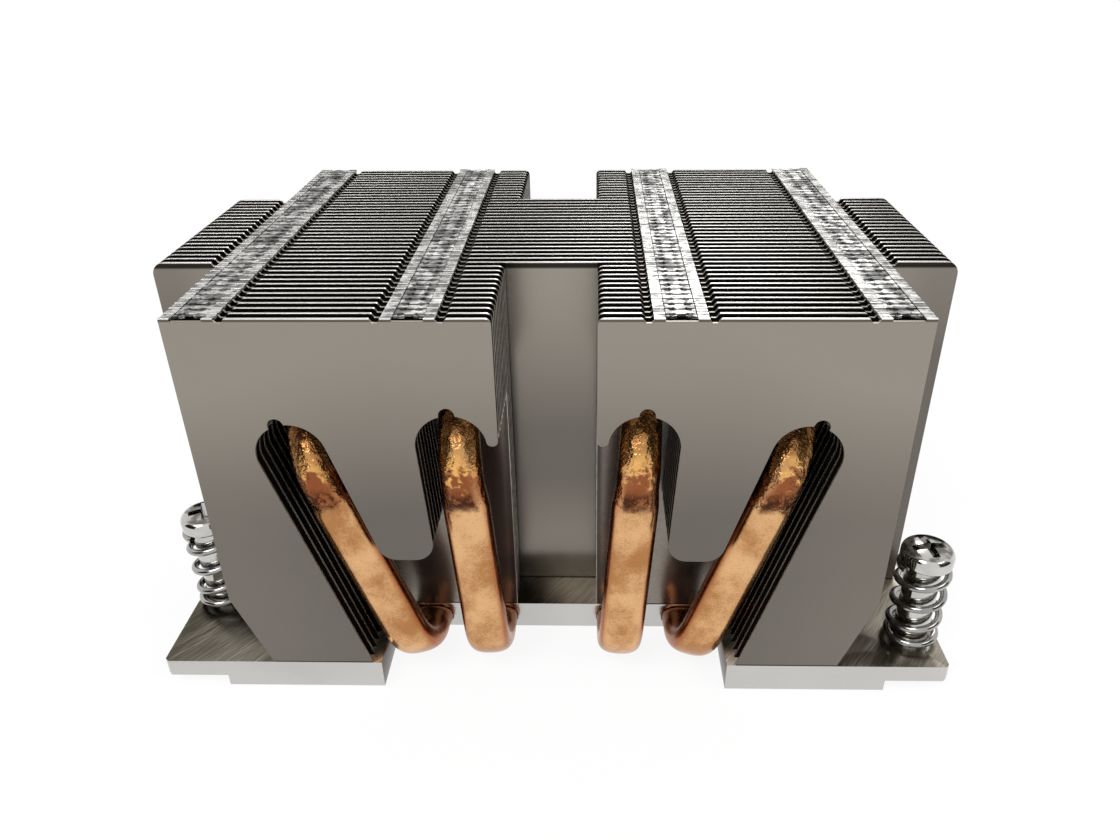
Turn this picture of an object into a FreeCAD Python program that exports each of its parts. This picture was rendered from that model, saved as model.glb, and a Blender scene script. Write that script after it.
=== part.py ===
import FreeCAD, Part
import math
import os
import Sketcher
from FreeCAD import Placement, Rotation, Vector
from types import SimpleNamespace

# Passive 2U server CPU heatsink: a stack of folded sheet fins soldered to a machined base
# plate, four flattened copper heat pipes bent in a U, and four captive spring screws.
#
# Millimetres. The origin is the middle of the contact pad's underside. +X runs along the
# fins, +Y from the front of the stack to its rear, +Z up.

# Fins are counted from the front. Neighbouring leaves of one side share a node.
SLOTTED_PAIRS = 4
FULL_PAIRS = 2
MIDDLE_FINS = 20
REAR_TRIPLES = 4
FRONT_ROWS = 2 * (SLOTTED_PAIRS + FULL_PAIRS)
REAR_ROWS = 3 * REAR_TRIPLES
FIN_ROWS = FRONT_ROWS + MIDDLE_FINS + REAR_ROWS

# Fine detail that repeats is kept light: coils and bends are short straight runs.
SPRING_STEPS_PER_TURN = 8
BEND_RUNS = 5

SIZES = [
    # fin sheets
    ("fin_pitch", 1.74, "distance from one fin to the next"),
    ("fin_gauge", 0.4, "sheet thickness"),
    ("fin_height", 59.0, "from the base plate to the top of the fins"),
    ("fin_half_width", 49.0, "front and rear leaves, from the middle plane"),
    ("wing_half_width", 59.3, "middle fins, from the middle plane"),
    ("wing_corner", 2.0, "rounding of the wings' top corners"),
    ("notch_half_width", 6.7, "gap between the left and right leaves, half"),
    ("toe_height", 12.8, "slanted lower corner of the leaves"),
    ("toe_depth", 4.7, "slanted lower corner of the leaves"),
    ("strip_width", 7.0, "interlocking flanges on top"),
    ("inner_strip_edge", 13.8, "near edge of the inner flange"),
    ("flange_gap", 0.04, "between a flange and the next fin"),
    # openings for the heat pipes
    ("slot_half_width", 4.95, "slots of the front leaves"),
    ("slot_drop", 1.35, "slot's round end, below the pipe's axis"),
    ("outer_slot_foot", 23.4, "outer slot's middle line where it meets the base"),
    ("inner_slot_foot", 10.7, "inner slot's middle line where it meets the base"),
    ("nub_half_width", 1.1, "solder pocket above each pipe"),
    ("nub_rise", 6.1, "solder pocket's top above the slot's round end"),
    ("tongue_foot", 20.6, "lower end of the tongue between the slots"),
    ("tongue_corner", 2.8, "rounding of the tongue"),
    ("lip_foot", 40.2, "lower end of the lip beside the notch"),
    # base plate
    ("plate_thickness", 5.0, "over the contact pad"),
    ("rim_thickness", 3.0, "outside the contact pad"),
    ("pad_gap", 5.4, "from the contact pad to the screws' axes"),
    ("recess_half_width", 27.2, "front recess that the pipes come down through, half"),
    ("groove_rear_wall", 4.0, "plate left behind the pipes' grooves"),
    ("plate_corner", 0.6, "broken vertical corners"),
    # heat pipes
    ("pipe_diameter", 6.0, "round upper leg"),
    ("pipe_flat_width", 6.9, "flattened run and lower leg"),
    ("pipe_flat_height", 4.5, "flattened run and lower leg"),
    ("outer_pipe_top_x", 35.6, "upper leg of the outer pipes"),
    ("outer_pipe_top_z", 39.8, "upper leg of the outer pipes, above the plate"),
    ("outer_pipe_foot_x", 21.5, "lower leg of the outer pipes"),
    ("inner_pipe_top_x", 13.2, "upper leg of the inner pipes"),
    ("inner_pipe_top_z", 41.3, "upper leg of the inner pipes, above the plate"),
    ("inner_pipe_foot_x", 10.3, "lower leg of the inner pipes"),
    ("pipe_setback", 3.6, "from the front fin to the middle of the flattened run"),
    ("upper_bend", 9.5, "middle-line radius"),
    ("lower_bend", 7.2, "middle-line radius"),
    ("flattening_length", 2.6, "from round to flat, just under the upper bend"),
    ("pipe_step", 0.5, "from the lower bend down to the lower leg"),
    ("pipe_tip_bevel", 0.8, "closed rear end"),
    ("solder_gap", 0.05, "around the pipes"),
    # spring screws
    ("screw_gap", 8.7, "from the leaves' outer edges to the screws' axes"),
    ("screw_margin", 4.3, "from the screws' axes to the ends of the base plate"),
    ("right_screw_inset", 7.0, "right-hand screws, from the front or rear edge"),
    ("left_screw_inset", 15.4, "left-hand screws, from the front or rear edge"),
    ("head_diameter", 8.0, "screw head"),
    ("head_height", 4.3, "screw head"),
    ("cross_length", 4.6, "cross recess"),
    ("cross_width", 1.1, "cross recess"),
    ("cross_depth", 2.2, "cross recess"),
    ("sleeve_diameter", 5.4, "smooth shank inside the spring"),
    ("sleeve_play", 0.2, "around the shank in the plate, on the radius"),
    ("neck_diameter", 3.4, "undercut that holds the retaining ring"),
    ("thread_diameter", 4.0, "threaded tip"),
    ("tip_height", 0.3, "threaded tip above the contact pad's plane"),
    ("clip_diameter", 7.0, "retaining ring under the plate"),
    ("clip_thickness", 0.6, "retaining ring"),
    ("clip_play", 0.05, "inside the ring, and between it and the plate"),
    ("spring_height", 13.0, "spring as fitted"),
    ("spring_middle_diameter", 7.6, "through the middle of the wire"),
    ("spring_wire", 1.0, "wire diameter"),
    ("spring_open_turns", 3.0, "turns between the two closed end turns"),
    ("spring_end_play", 0.05, "above and below the spring"),
]


class Size:
    """A length or angle worked out from the sheet: its formula, and its value."""

    def __init__(self, formula, value):
        self.formula = formula
        self.value = value

    def __add__(self, other):
        other = as_size(other)
        return Size(f"({self.formula} + {other.formula})", self.value + other.value)

    def __sub__(self, other):
        other = as_size(other)
        return Size(f"({self.formula} - {other.formula})", self.value - other.value)

    def __mul__(self, other):
        other = as_size(other)
        return Size(f"({self.formula} * {other.formula})", self.value * other.value)

    def __truediv__(self, other):
        other = as_size(other)
        return Size(f"({self.formula} / {other.formula})", self.value / other.value)

    def __neg__(self):
        return self * -1

    def __rmul__(self, other):
        return as_size(other) * self

    def __rsub__(self, other):
        return as_size(other) - self


def as_size(thing):
    return thing if isinstance(thing, Size) else Size(f"({thing})", thing)


def square_root(size):
    return Size(f"sqrt({size.formula})", math.sqrt(size.value))


def arc_tangent(size):
    return Size(f"atan({size.formula})", math.degrees(math.atan(size.value)))


def sine(angle):
    return Size(f"sin({angle.formula})", math.sin(math.radians(angle.value)))


def cosine(angle):
    return Size(f"cos({angle.formula})", math.cos(math.radians(angle.value)))


doc = FreeCAD.newDocument("cpu_heatsink")
sheet = doc.addObject("Spreadsheet::Sheet", "Sizes")
for row, (alias, value, note) in enumerate(SIZES, 1):
    sheet.set(f"A{row}", note)
    sheet.set(f"B{row}", str(value))
    sheet.setAlias(f"B{row}", alias)
doc.recompute()
s = SimpleNamespace(**{alias: Size(f"Sizes.{alias}", sheet.get(alias)) for alias, _, _ in SIZES})

ZERO = as_size(0)
# Anything that cuts right through starts this far outside the piece.
BEYOND = as_size(5)
# Distance of the flats of a twelve-sided outline from its middle, as a share of its corners'.
TWELVE_SIDED = 0.965926
SIX_SIDED = 0.866025
# Lengths closer than this are taken as equal when edges are picked.
NEAR = 1e-3

STACK_DEPTH = (FIN_ROWS - 1) * s.fin_pitch + s.fin_gauge
FRONT_FACE = -STACK_DEPTH / 2
PLATE_TOP = s.plate_thickness
RECESS_DEPTH = 2 * SLOTTED_PAIRS * s.fin_pitch
PIPE_RADIUS = s.pipe_diameter / 2
FLAT_RADIUS = s.pipe_flat_height / 2
FLAT_HALF = s.pipe_flat_width / 2
SCREW_X = s.fin_half_width + s.screw_gap
PLATE_HALF = SCREW_X + s.screw_margin
PAD_HALF = SCREW_X - s.pad_gap


# ---------------------------------------------------------------- sketches and features

def add_body(name):
    body = doc.addObject("PartDesign::Body", name)
    body.Label = name
    return body


def place(item, x=ZERO, y=ZERO, z=ZERO, path="Placement"):
    for axis, size in (("x", x), ("y", y), ("z", z)):
        item.setExpression(f"{path}.Base.{axis}", as_size(size).formula)


def add_sketch(body, name, role="XZ_Plane", x=ZERO, y=ZERO, z=ZERO, turn=None, tilt=0):
    """Sketch on one of the body's own planes, shifted in that plane's frame, and then turned in
    it, or tilted by some degrees about its X."""
    sketch = body.newObject("Sketcher::SketchObject", name)
    support = next(item for item in body.Origin.OriginFeatures if item.Role == role)
    sketch.AttachmentSupport = (support, "")
    sketch.MapMode = "FlatFace"
    place(sketch, x, y, z, "AttachmentOffset")
    if turn:
        sketch.AttachmentOffset = Placement(Vector(), Rotation(Vector(0, 0, 1), 1))
        sketch.setExpression("AttachmentOffset.Rotation.Angle", turn.formula)
    if tilt:
        sketch.AttachmentOffset = Placement(Vector(), Rotation(Vector(1, 0, 0), tilt))
    return sketch


def hold(sketch, kind, size, *references):
    """Adds a dimension to the sketch and ties it to the sheet."""
    index = sketch.addConstraint(Sketcher.Constraint(kind, *references, size.value))
    sketch.setExpression(f"Constraints[{index}]", size.formula)


def hold_point(sketch, curve, point, x, y):
    hold(sketch, "DistanceX", x, -1, 1, curve, point)
    hold(sketch, "DistanceY", y, -1, 1, curve, point)


def as_point(x, y):
    return Vector(x.value, y.value, 0)


def polygon(sketch, points):
    """Closed outline of straight lines through points, each a pair of sizes."""
    points = [(as_size(x), as_size(y)) for x, y in points]
    first = len(sketch.Geometry)
    for start, end in zip(points, points[1:] + points[:1]):
        sketch.addGeometry(Part.LineSegment(as_point(*start), as_point(*end)))
    for i, (x, y) in enumerate(points):
        before = first + (i - 1) % len(points)
        sketch.addConstraint(Sketcher.Constraint("Coincident", before, 2, first + i, 1))
        hold_point(sketch, first + i, 1, x, y)


def rectangle(sketch, left, right, low, high):
    polygon(sketch, [(left, low), (right, low), (right, high), (left, high)])


def circle(sketch, radius, x=ZERO, y=ZERO):
    index = sketch.addGeometry(Part.Circle(as_point(x, y), Vector(0, 0, 1), radius.value))
    hold_point(sketch, index, 3, x, y)
    hold(sketch, "Radius", radius, index)


def arc_points(x, y, radius, start, end, flats):
    """Corners of a round edge drawn as a few flats, from one angle in degrees to another."""
    angles = [math.radians(start + (end - start) * i / flats) for i in range(flats + 1)]
    return [(x + radius * round(math.cos(a), 6), y + radius * round(math.sin(a), 6)) for a in angles]


def pipe_outline(sketch, half_width, half_height, x=ZERO, y=ZERO):
    """Twelve-sided pipe section with two flats and two round sides, wide along the sketch's X."""
    reach = half_width - half_height
    corner = half_height / TWELVE_SIDED
    polygon(sketch, arc_points(x + reach, y, corner, -75, 75, 5)
            + arc_points(x - reach, y, corner, 105, 255, 5))


def add_feature(body, kind, name, sketch=None):
    feature = body.newObject(f"PartDesign::{kind}", name)
    if sketch:
        feature.Profile = sketch
    body.Tip = feature
    return feature


def pad(body, sketch, name, length, reverse=False):
    feature = add_feature(body, "Pad", name, sketch)
    feature.setExpression("Length", length.formula)
    feature.Reversed = reverse


def pocket(body, sketch, name, length=None, reverse=False):
    """Cuts the sketch into the body. With no length it goes right through, both ways."""
    doc.recompute()
    before = body.Tip.Shape.Volume
    feature = add_feature(body, "Pocket", name, sketch)
    feature.Reversed = reverse
    if length:
        feature.setExpression("Length", length.formula)
    else:
        feature.Type = "ThroughAll"
        feature.Midplane = True
    doc.recompute()
    if feature.Shape.isNull() or feature.Shape.Volume >= before:
        raise RuntimeError(f"{name} of {body.Label} cuts nothing")


def loft(body, name, sections):
    feature = add_feature(body, "AdditiveLoft", name, sections[0])
    feature.Sections = sections[1:]
    feature.Ruled = True


def finish_edges(body, name, kind, size, picked):
    """Fillet or Chamfer on the edges whose bounding box passes the test picked(box)."""
    doc.recompute()
    base = body.Tip
    names = [f"Edge{i}" for i, edge in enumerate(base.Shape.Edges, 1) if picked(edge.BoundBox)]
    if not names:
        raise RuntimeError(f"{name} of {body.Label} found no edge")
    feature = add_feature(body, kind, name)
    feature.Base = (base, names)
    feature.setExpression("Radius" if kind == "Fillet" else "Size", size.formula)


def group(name, members, x=ZERO, y=ZERO, z=ZERO):
    """One or more pieces, set in place together."""
    item = doc.addObject("Part::Compound", name)
    item.Label = name
    item.Links = members
    place(item, x, y, z)
    return item


# ---------------------------------------------------------------- fins
# A leaf is drawn as the right-hand one, its front face on y = 0 and its foot on z = 0.

SLOTS = (
    ("outer", s.outer_pipe_top_x, s.outer_pipe_top_z, s.outer_slot_foot),
    ("inner", s.inner_pipe_top_x, s.inner_pipe_top_z, s.inner_slot_foot),
)


def fin_sheet(name, corners):
    """The sheet with the given outline, and its two top flanges folded to the rear."""
    body = add_body(name)
    sketch = add_sketch(body, f"{name}_outline")
    polygon(sketch, corners)
    pad(body, sketch, f"{name}_sheet", s.fin_gauge, reverse=True)
    sketch = add_sketch(body, f"{name}_flange_outline")
    for outer_edge in (s.inner_strip_edge + s.strip_width, s.fin_half_width):
        rectangle(sketch, outer_edge - s.strip_width, outer_edge, s.fin_height - s.fin_gauge, s.fin_height)
    pad(body, sketch, f"{name}_flanges", s.fin_pitch - s.flange_gap, reverse=True)
    return body


def leaf_outline():
    """Outline of a fin beside the notch, which steps in above the plate."""
    return [(s.notch_half_width, ZERO), (s.fin_half_width - s.toe_depth, ZERO),
            (s.fin_half_width, s.toe_height), (s.fin_half_width, s.fin_height),
            (s.notch_half_width, s.fin_height)]


def pipe_holes(body):
    """A close hole for each pipe that passes through."""
    sketch = add_sketch(body, f"{body.Label}_hole_outline")
    for _, x, z, _ in SLOTS:
        polygon(sketch, arc_points(x, z, (PIPE_RADIUS + s.solder_gap) / SIX_SIDED, 30, 330, 5))
    pocket(body, sketch, f"{body.Label}_holes")
    return body


def slot(body, name, top_x, top_z, foot_x):
    """Leaning slot that a pipe's run passes through, with the solder pocket over its top."""
    lean = arc_tangent((top_x - foot_x) / top_z)
    round_top = arc_points(ZERO, ZERO, s.slot_half_width, 0, 180, 6)
    foot = -top_z / cosine(lean) - BEYOND
    outlines = (
        ("slot", round_top + [(-s.slot_half_width, foot), (s.slot_half_width, foot)]),
        ("nub", [(-s.nub_half_width, ZERO), (s.nub_half_width, ZERO),
                 (s.nub_half_width, s.nub_rise), (-s.nub_half_width, s.nub_rise)]),
    )
    for part, outline in outlines:
        sketch = add_sketch(body, f"{name}_{part}_outline", turn=-lean,
                            x=top_x - s.slot_drop * sine(lean), y=top_z - s.slot_drop * cosine(lean))
        polygon(sketch, outline)
        pocket(body, sketch, f"{name}_{part}")


def slotted_leaf():
    body = fin_sheet("slotted_leaf", leaf_outline())
    for which in SLOTS:
        slot(body, *which)
    # The tongue between the slots ends above the plate, and so does the lip by the notch.
    lean_out = (s.outer_pipe_top_x - s.outer_slot_foot) / s.outer_pipe_top_z
    lean_in = (s.inner_pipe_top_x - s.inner_slot_foot) / s.inner_pipe_top_z
    left = s.inner_slot_foot + lean_in * s.tongue_foot + s.slot_half_width
    right = s.outer_slot_foot + lean_out * s.tongue_foot - s.slot_half_width
    high = s.tongue_foot + s.tongue_corner
    sketch = add_sketch(body, "under_the_tongue")
    polygon(sketch, [(s.inner_slot_foot, -BEYOND), (s.outer_slot_foot - lean_out * BEYOND, -BEYOND),
                     (s.outer_slot_foot + lean_out * high, high)]
            + arc_points(right - s.tongue_corner, high, s.tongue_corner, 0, -90, 3)
            + arc_points(left + s.tongue_corner, high, s.tongue_corner, -90, -180, 3)
            + [(s.inner_slot_foot, high)])
    pocket(body, sketch, "tongue_end")
    sketch = add_sketch(body, "under_the_lip")
    rectangle(sketch, ZERO, s.inner_pipe_top_x, -BEYOND, s.lip_foot)
    pocket(body, sketch, "lip_end")
    return body


def middle_half():
    """Half of a wide fin, with its wing."""
    corner = arc_points(s.wing_half_width - s.wing_corner, s.fin_height - s.wing_corner,
                        s.wing_corner, 0, 90, 3)
    return fin_sheet("middle_half", [(ZERO, ZERO), (s.wing_half_width, ZERO)] + corner
                     + [(ZERO, s.fin_height)])


def mirrored(body):
    item = doc.addObject("Part::Mirroring", f"{body.Label}_mirrored")
    item.Source = body
    item.Normal = Vector(1, 0, 0)
    return item


def leaf_nodes(zone, leaf, first_row, count, per_node):
    """Name, first row and fins of every node of a zone that has leaves on both sides."""
    nodes = []
    for side, master in (("left", mirrored(leaf)), ("right", leaf)):
        for number in range(count):
            name = f"{zone}_{side}_{number + 1}"
            fins = [group(f"{name}_row_{i + 1}", [master], y=i * s.fin_pitch) for i in range(per_node)]
            nodes.append((name, first_row + number * per_node, fins))
    return nodes


def fin_nodes():
    leaf = pipe_holes(fin_sheet("leaf", leaf_outline()))
    half = pipe_holes(middle_half())
    middle = doc.addObject("Part::Fuse", "middle_fin")
    middle.Base = half
    middle.Tool = mirrored(half)
    middle.Refine = True
    rows = leaf_nodes("slotted_fins", slotted_leaf(), 0, SLOTTED_PAIRS, 2)
    rows += leaf_nodes("front_fins", leaf, 2 * SLOTTED_PAIRS, FULL_PAIRS, 2)
    rows += [(f"middle_fin_{i + 1:02d}", FRONT_ROWS + i, [middle]) for i in range(MIDDLE_FINS)]
    rows += leaf_nodes("rear_fins", leaf, FRONT_ROWS + MIDDLE_FINS, REAR_TRIPLES, 3)
    return [group(name, fins, y=FRONT_FACE + row * s.fin_pitch, z=PLATE_TOP) for name, row, fins in rows]


# ---------------------------------------------------------------- base plate
# Drawn with its top on z = 0 and its front edge on y = 0.

SCREW_PLACES = (
    ("front_left", -SCREW_X, s.left_screw_inset),
    ("front_right", SCREW_X, s.right_screw_inset),
    ("rear_left", -SCREW_X, STACK_DEPTH - s.left_screw_inset),
    ("rear_right", SCREW_X, STACK_DEPTH - s.right_screw_inset),
)
PIPES = (
    ("outer", s.outer_pipe_top_x, s.outer_pipe_top_z, s.outer_pipe_foot_x),
    ("inner", s.inner_pipe_top_x, s.inner_pipe_top_z, s.inner_pipe_foot_x),
)
PIPE_FOOT_Z = FLAT_RADIUS - s.plate_thickness
LOWER_LEG_END = STACK_DEPTH - s.groove_rear_wall


def base_plate():
    body = add_body("base_plate")
    sketch = add_sketch(body, "plate_section")
    rim, under = -s.rim_thickness, -s.plate_thickness
    half_section = [(PAD_HALF, under), (PAD_HALF, rim),
                    (PLATE_HALF, rim), (PLATE_HALF, ZERO)]
    polygon(sketch, half_section + [(-x, z) for x, z in reversed(half_section)])
    pad(body, sketch, "plate", STACK_DEPTH, reverse=True)
    finish_edges(body, "plate_corners", "Chamfer", s.plate_corner,
                 lambda box: box.ZLength > NEAR and box.YLength < NEAR
                 and abs(box.XMin) > PLATE_HALF.value - NEAR)
    sketch = add_sketch(body, "recess_outline", "XY_Plane")
    rectangle(sketch, -s.recess_half_width, s.recess_half_width, -BEYOND, RECESS_DEPTH)
    pocket(body, sketch, "pipe_recess")
    sketch = add_sketch(body, "groove_section", z=BEYOND - RECESS_DEPTH)
    for _, _, _, foot_x in PIPES:
        for x in (foot_x, -foot_x):
            pipe_outline(sketch, FLAT_HALF + s.solder_gap, FLAT_RADIUS + s.solder_gap, x, PIPE_FOOT_Z)
    pocket(body, sketch, "pipe_grooves", LOWER_LEG_END + s.solder_gap + BEYOND - RECESS_DEPTH)
    sketch = add_sketch(body, "screw_hole_outline", "XY_Plane")
    for _, x, y in SCREW_PLACES:
        circle(sketch, s.sleeve_diameter / 2 + s.sleeve_play, x, y)
    pocket(body, sketch, "screw_holes")
    place(body, y=FRONT_FACE, z=PLATE_TOP)
    return body


# ---------------------------------------------------------------- heat pipes
# A pipe is a U in one flat plane. It is drawn upright, its lower leg's middle line on z = 0
# and the front fin's face on y = 0, and the whole pipe then leans outwards.

def heat_pipe(name, side, top_x, top_z, foot_x):
    body = add_body(name)
    across = top_x - foot_x
    foot_z = PIPE_FOOT_Z + s.pipe_step
    rise = top_z - foot_z
    lean = side * arc_tangent(across / rise)
    height = square_root(across * across + rise * rise)
    run_top = height - s.upper_bend
    flat_top = run_top - s.flattening_length
    upper_front = s.pipe_setback + s.upper_bend
    lower_front = s.pipe_setback + s.lower_bend

    def section(part, is_round=False, role="XZ_Plane", **offsets):
        sketch = add_sketch(body, f"{name}_{part}", role, **offsets)
        if is_round:
            pipe_outline(sketch, PIPE_RADIUS * TWELVE_SIDED, PIPE_RADIUS * TWELVE_SIDED)
        else:
            pipe_outline(sketch, FLAT_HALF, FLAT_RADIUS)
        return sketch

    def bend(part, is_round, radius, front, middle_z, side_of_run):
        """A quarter turn in short straight runs, from a leg to the front run."""
        angles = [90 * i / BEND_RUNS for i in range(BEND_RUNS + 1)]
        sections = []
        for i, angle in enumerate(angles):
            back = radius * round(math.sin(math.radians(angle)), 6)
            away = radius * round(math.cos(math.radians(angle)), 6)
            sections.append(section(f"{part}_section_{i}", is_round, y=middle_z + side_of_run * away,
                                    z=back - front, tilt=side_of_run * angle))
        loft(body, f"{name}_{part}", sections)

    sketch = section("upper_leg_section", True, y=height, z=-upper_front)
    pad(body, sketch, f"{name}_upper_leg", STACK_DEPTH - upper_front - s.solder_gap, reverse=True)
    bend("upper_bend", True, s.upper_bend, upper_front, run_top, 1)
    ends = [section(part, part == "round_end", "XY_Plane", y=s.pipe_setback, z=z)
            for part, z in (("round_end", run_top), ("flat_end", flat_top))]
    loft(body, f"{name}_flattening", ends)
    sketch = section("run_section", role="XY_Plane", y=s.pipe_setback, z=s.lower_bend)
    pad(body, sketch, f"{name}_run", flat_top - s.lower_bend)
    bend("lower_bend", False, s.lower_bend, lower_front, s.lower_bend, -1)
    # The lower leg turns level, and steps down, before it enters its groove.
    level = dict(x=s.pipe_step * sine(lean), y=-s.pipe_step * cosine(lean), z=-RECESS_DEPTH, turn=lean)
    loft(body, f"{name}_levelling", [section("leaning_end", z=-lower_front), section("level_end", **level)])
    sketch = section("lower_leg_section", **level)
    pad(body, sketch, f"{name}_lower_leg", LOWER_LEG_END - RECESS_DEPTH, reverse=True)
    last_row = (FIN_ROWS - 1) * s.fin_pitch.value
    finish_edges(body, f"{name}_upper_tip", "Chamfer", s.pipe_tip_bevel,
                 lambda box: box.YLength < NEAR and box.YMin > last_row)

    body.Placement = Placement(Vector(), Rotation(Vector(0, 1, 0), 1))
    body.setExpression("Placement.Rotation.Angle", lean.formula)
    place(body, side * foot_x, FRONT_FACE, PLATE_TOP + foot_z)
    return body


# ---------------------------------------------------------------- spring screws
# Drawn round the z axis with the plate's top on z = 0.

HEAD_FOOT = s.spring_height + 2 * s.spring_end_play
HEAD_TOP = HEAD_FOOT + s.head_height
RING_TOP = -s.rim_thickness - s.clip_play
RING_FOOT = RING_TOP - s.clip_thickness
NECK_RADIUS = s.neck_diameter / 2


def spring_screw():
    body = add_body("spring_screw")
    tip = s.tip_height - s.plate_thickness
    thread_top = RING_FOOT - s.clip_play
    thread_radius = s.thread_diameter / 2
    sleeve_radius = s.sleeve_diameter / 2
    head_radius = s.head_diameter / 2
    sketch = add_sketch(body, "screw_profile")
    polygon(sketch, [(ZERO, tip), (thread_radius, tip), (thread_radius, thread_top),
                     (NECK_RADIUS, thread_top), (NECK_RADIUS, RING_TOP), (sleeve_radius, RING_TOP),
                     (sleeve_radius, HEAD_FOOT), (head_radius, HEAD_FOOT), (head_radius, HEAD_TOP),
                     (ZERO, HEAD_TOP)])
    feature = add_feature(body, "Revolution", "screw_blank", sketch)
    feature.ReferenceAxis = (sketch, ["V_Axis"])
    feature.Angle = 360
    sketch = add_sketch(body, "cross_outline", "XY_Plane", z=HEAD_TOP)
    long, short = s.cross_length / 2, s.cross_width / 2
    points = []
    for x, y in ((1, 0), (0, 1), (-1, 0), (0, -1)):
        points += [(x * long + y * short, y * long - x * short), (x * long - y * short, y * long + x * short),
                   ((x - y) * short, (x + y) * short)]
    polygon(sketch, points)
    pocket(body, sketch, "cross_recess", s.cross_depth)
    return body


def retaining_ring():
    """Open ring in the screw's neck, between the sleeve's foot and the thread, under the plate."""
    body = add_body("retaining_ring")
    sketch = add_sketch(body, "ring_outline", "XY_Plane", z=RING_FOOT)
    inner = (NECK_RADIUS + s.clip_play) / TWELVE_SIDED
    polygon(sketch, arc_points(ZERO, ZERO, s.clip_diameter / 2, -60, 240, 10)
            + arc_points(ZERO, ZERO, inner, 240, -60, 10))
    pad(body, sketch, "ring", s.clip_thickness)
    return body


def coil_spring():
    """Compression spring with a closed turn at each end, swept along short straight runs."""
    wire = s.spring_wire.value
    turns = s.spring_open_turns.value + 2
    closed_rise = 1.05 * wire
    open_rise = (s.spring_height.value - wire - 2 * closed_rise) / (turns - 2)
    steps = round(turns * SPRING_STEPS_PER_TURN)
    path = []
    for step in range(steps + 1):
        turn = turns * step / steps
        open_turn = min(max(turn - 1, 0), turns - 2)
        height = wire / 2 + closed_rise * (turn - open_turn) + open_rise * open_turn
        around = Rotation(Vector(0, 0, 1), 360 * turn)
        path.append(around.multVec(Vector(s.spring_middle_diameter.value / 2, 0, height)))
    across = Rotation(Vector(0, 0, 1), path[1] - path[0])
    corners = [across.multVec(Rotation(Vector(0, 0, 1), 90 * i).multVec(Vector(wire / 2, 0, 0))) + path[0]
               for i in range(5)]
    item = doc.addObject("Part::Feature", "coil_spring")
    item.Shape = Part.makePolygon(path).makePipeShell([Part.makePolygon(corners)], True, False, 1)
    item.Label = "coil_spring"
    return item


def screw_nodes():
    masters = (("spring_screw", spring_screw(), ZERO), ("retaining_ring", retaining_ring(), ZERO),
               ("screw_spring", coil_spring(), s.spring_end_play))
    return [group(f"{kind}_{corner}", [master], x, FRONT_FACE + y, PLATE_TOP + lift)
            for kind, master, lift in masters for corner, x, y in SCREW_PLACES]


# ---------------------------------------------------------------- the whole, and its files

nodes = [base_plate()]
for which, top_x, top_z, foot_x in PIPES:
    for side_name, side in (("left", -1), ("right", 1)):
        nodes.append(heat_pipe(f"heat_pipe_{which}_{side_name}", side, top_x, top_z, foot_x))
nodes += screw_nodes() + fin_nodes()
doc.recompute()

for item in doc.Objects:
    if any(word in item.State for word in ("Invalid", "Error")):
        raise RuntimeError(f"{item.Label} failed to build: {item.State}")
for node in nodes:
    if node.Shape.isNull() or not node.Shape.isValid() or not node.Shape.Solids:
        raise RuntimeError(f"{node.Label} has no valid solid")

os.makedirs("parts", exist_ok=True)
for node in nodes:
    node.Shape.exportStep(f"parts/{node.Label}.step")
print(f"{len(nodes)} nodes, {sum(len(node.Shape.Solids) for node in nodes)} solids")
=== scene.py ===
import math
from collections import namedtuple

import bmesh
import bpy
from mathutils import Matrix, Vector, noise


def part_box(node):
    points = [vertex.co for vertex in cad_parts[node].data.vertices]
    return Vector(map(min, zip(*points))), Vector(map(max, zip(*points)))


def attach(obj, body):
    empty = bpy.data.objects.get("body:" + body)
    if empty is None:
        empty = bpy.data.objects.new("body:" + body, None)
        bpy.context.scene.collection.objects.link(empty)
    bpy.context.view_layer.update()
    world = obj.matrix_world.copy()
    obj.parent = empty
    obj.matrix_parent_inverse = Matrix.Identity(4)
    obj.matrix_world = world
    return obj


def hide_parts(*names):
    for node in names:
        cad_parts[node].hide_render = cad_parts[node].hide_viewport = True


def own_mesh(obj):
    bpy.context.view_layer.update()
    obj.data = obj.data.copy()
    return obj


# Passive 2U server CPU heatsink: its finishes, and the fine forms of its fins, pipes, screws
# and springs. Lengths are in millimetres until a mesh is finished, and metres after that.

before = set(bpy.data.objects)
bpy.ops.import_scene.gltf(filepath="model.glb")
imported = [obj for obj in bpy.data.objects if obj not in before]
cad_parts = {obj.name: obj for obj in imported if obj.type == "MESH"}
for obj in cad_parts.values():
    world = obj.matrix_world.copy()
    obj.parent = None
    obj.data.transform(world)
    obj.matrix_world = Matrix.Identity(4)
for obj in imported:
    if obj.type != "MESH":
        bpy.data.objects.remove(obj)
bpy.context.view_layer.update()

MM = 0.001
X, Y, Z = range(3)
HEATSINK = "heatsink"
CORNERS = ("front_left", "front_right", "rear_left", "rear_right")


def node_box(node):
    """Lowest and highest corner of a CAD node, in millimetres."""
    low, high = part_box(node)
    return Vector(low) / MM, Vector(high) / MM


plate_low, plate_high = node_box("base_plate")
middle_low, middle_high = node_box("middle_fin_01")
leaf_low, leaf_high = node_box("front_fins_right_1")
PLATE_TOP = plate_high.z
FRONT_FACE = plate_low.y
REAR_FACE = plate_high.y
FIN_FOOT = middle_low.z
FIN_TOP = middle_high.z
FIN_HEIGHT = FIN_TOP - FIN_FOOT
WING_HALF = middle_high.x
LEAF_INNER = leaf_low.x
LEAF_OUTER = leaf_high.x
FIN_PITCH = node_box("middle_fin_02")[0].y - middle_low.y
FIN_GAUGE = 0.4
SLOTTED_ROWS = 8
FRONT_ROWS = 12
MIDDLE_ROWS = 20
REAR_ROWS = 12
FIN_ROWS = FRONT_ROWS + MIDDLE_ROWS + REAR_ROWS

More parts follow.
